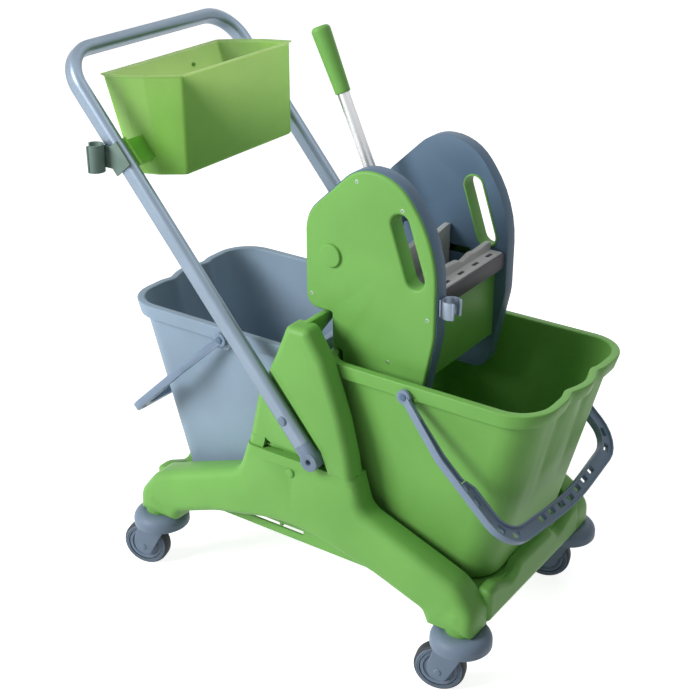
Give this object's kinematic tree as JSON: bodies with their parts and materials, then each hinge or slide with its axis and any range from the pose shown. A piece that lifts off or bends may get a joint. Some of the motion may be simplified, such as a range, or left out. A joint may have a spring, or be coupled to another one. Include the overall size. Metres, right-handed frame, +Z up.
{
  "type": "double mop bucket trolley",
  "caption": "Wheeled mop bucket trolley: green and grey pails on a caster chassis, lever jaw wringer, tilted push handle with a small bin and mop handle clips.",
  "frame": {"origin": "on the floor, midway between the caster stems", "axes": "+X forward to the green bucket, +Y to the far side, +Z up"},
  "size_m": [0.8226, 0.4609, 0.9151],
  "materials": {
    "green_plastic": "moulded, satin",
    "lime_plastic": "moulded, satin",
    "grey_bucket": "moulded, satin",
    "grey_plastic": "moulded, satin",
    "dark_plastic": "moulded, satin",
    "pale_plastic": "moulded, matte",
    "gear_plastic": "moulded, matte",
    "tube_paint": "powder coat, satin",
    "aluminium": "drawn, satin",
    "steel": "zinc plated",
    "tyre_grey": "matte"
  },
  "bodies": {
    "chassis": {"base_tray": "green_plastic", "rail_near": "green_plastic", "rail_far": "green_plastic", "tower_near": "green_plastic", "tower_far": "green_plastic", "handle_pins": "steel", "caster_stems": "steel", "rail_spring_near": "steel", "rail_spring_far": "steel"},
    "handle": {"handle_tube": "tube_paint", "end_cap_near": "grey_plastic", "end_cap_far": "grey_plastic", "handle_spring_near": "steel", "handle_spring_far": "steel", "basket": "lime_plastic", "basket_bracket_near": "lime_plastic", "basket_bracket_far": "lime_plastic", "mop_clip": "dark_plastic"},
    "front_bucket": {"front_bucket": "green_plastic"},
    "rear_bucket": {"rear_bucket": "grey_bucket"},
    "front_bail": {"front_bail": "dark_plastic"},
    "rear_bail": {"rear_bail": "dark_plastic"},
    "wringer": {"wringer_shell_near": "dark_plastic", "wringer_shell_far": "dark_plastic", "wringer_cover_near": "green_plastic", "wringer_cover_far": "green_plastic", "cover_screws": "steel", "front_bar": "dark_plastic", "front_wall": "green_plastic", "front_jaw": "pale_plastic", "wringer_clip": "steel"},
    "lever": {"lever_shaft": "steel", "lever_hub": "dark_plastic", "lever_tube": "aluminium", "lever_grip": "green_plastic", "pinion_near": "gear_plastic", "pinion_far": "gear_plastic"},
    "jaw": {"rear_jaw": "pale_plastic", "rack_near": "gear_plastic", "rack_far": "gear_plastic"},
    "rail_button_near": {"rail_button_near": "green_plastic"},
    "rail_button_far": {"rail_button_far": "green_plastic"},
    "handle_button_near": {"handle_button_near": "grey_plastic"},
    "handle_button_far": {"handle_button_far": "grey_plastic"},
    "caster_rn": {"fork_rn": "grey_plastic", "axle_rn": "steel"},
    "wheel_rn": {"hub_rn": "grey_plastic", "tyre_rn": "tyre_grey"},
    "caster_fn": {"fork_fn": "grey_plastic", "axle_fn": "steel"},
    "wheel_fn": {"hub_fn": "grey_plastic", "tyre_fn": "tyre_grey"},
    "caster_ff": {"fork_ff": "grey_plastic", "axle_ff": "steel"},
    "wheel_ff": {"hub_ff": "grey_plastic", "tyre_ff": "tyre_grey"},
    "caster_rf": {"fork_rf": "grey_plastic", "axle_rf": "steel"},
    "wheel_rf": {"hub_rf": "grey_plastic", "tyre_rf": "tyre_grey"}
  },
  "joints": [
    {"name": "swivel_rn", "type": "hinge", "parent": "chassis", "child": "caster_rn", "pos_m": [-0.294, -0.177, 0.1], "axis": [0, 0, 1], "continuous": true},
    {"name": "wheel_spin_rn", "type": "hinge", "parent": "caster_rn", "child": "wheel_rn", "pos_m": [-0.32269, -0.18577, 0.04], "axis": [0.2924, -0.9563, 0], "continuous": true},
    {"name": "swivel_fn", "type": "hinge", "parent": "chassis", "child": "caster_fn", "pos_m": [0.294, -0.177, 0.1], "axis": [0, 0, 1], "continuous": true},
    {"name": "wheel_spin_fn", "type": "hinge", "parent": "caster_fn", "child": "wheel_fn", "pos_m": [0.26531, -0.18577, 0.04], "axis": [0.2924, -0.9563, 0], "continuous": true},
    {"name": "swivel_ff", "type": "hinge", "parent": "chassis", "child": "caster_ff", "pos_m": [0.294, 0.177, 0.1], "axis": [0, 0, 1], "continuous": true},
    {"name": "wheel_spin_ff", "type": "hinge", "parent": "caster_ff", "child": "wheel_ff", "pos_m": [0.26531, 0.16823, 0.04], "axis": [0.2924, -0.9563, 0], "continuous": true},
    {"name": "swivel_rf", "type": "hinge", "parent": "chassis", "child": "caster_rf", "pos_m": [-0.294, 0.177, 0.1], "axis": [0, 0, 1], "continuous": true},
    {"name": "wheel_spin_rf", "type": "hinge", "parent": "caster_rf", "child": "wheel_rf", "pos_m": [-0.32269, 0.16823, 0.04], "axis": [0.2924, -0.9563, 0], "continuous": true},
    {"name": "handle_fold", "type": "hinge", "parent": "chassis", "child": "handle", "pos_m": [0.038, 0, 0.3251], "axis": [0, -1, 0], "range_deg": [0, 45]},
    {"name": "front_bucket_lift", "type": "slide", "parent": "chassis", "child": "front_bucket", "axis": [0, 0, 1], "range_m": [0, 0.15]},
    {"name": "rear_bucket_lift", "type": "slide", "parent": "chassis", "child": "rear_bucket", "axis": [0, 0, 1], "range_m": [0, 0.04]},
    {"name": "wringer_lift", "type": "slide", "parent": "front_bucket", "child": "wringer", "axis": [0, 0, 1], "range_m": [0, 0.15]},
    {"name": "lever_press", "type": "hinge", "parent": "wringer", "child": "lever", "pos_m": [0.0205, 0, 0.625], "axis": [0, 1, 0], "range_deg": [0, 80]},
    {"name": "jaw_slide", "type": "slide", "parent": "wringer", "child": "jaw", "axis": [1, 0, 0], "range_m": [0, 0.03351]},
    {"name": "front_bail_swing", "type": "hinge", "parent": "front_bucket", "child": "front_bail", "pos_m": [0.176, 0, 0.458], "axis": [0, -1, 0], "range_deg": [0, 110]},
    {"name": "rear_bail_swing", "type": "hinge", "parent": "rear_bucket", "child": "rear_bail", "pos_m": [-0.16, 0, 0.458], "axis": [0, 1, 0], "range_deg": [0, 80]},
    {"name": "handle_button_push_near", "type": "slide", "parent": "handle", "child": "handle_button_near", "axis": [0, 1, 0], "range_m": [0, 0.003], "stiffness_N_per_m": 1500, "deforming": ["handle_spring_near"]},
    {"name": "rail_button_push_near", "type": "slide", "parent": "chassis", "child": "rail_button_near", "axis": [0, 1, 0], "range_m": [0, 0.003], "stiffness_N_per_m": 1500, "deforming": ["rail_spring_near"]},
    {"name": "handle_button_push_far", "type": "slide", "parent": "handle", "child": "handle_button_far", "axis": [0, -1, 0], "range_m": [0, 0.003], "stiffness_N_per_m": 1500, "deforming": ["handle_spring_far"]},
    {"name": "rail_button_push_far", "type": "slide", "parent": "chassis", "child": "rail_button_far", "axis": [0, -1, 0], "range_m": [0, 0.003], "stiffness_N_per_m": 1500, "deforming": ["rail_spring_far"]}
  ],
  "couplings": [
    {"joint": "jaw_slide", "follows": "lever_press", "m_per_rad": 0.024}
  ]
}
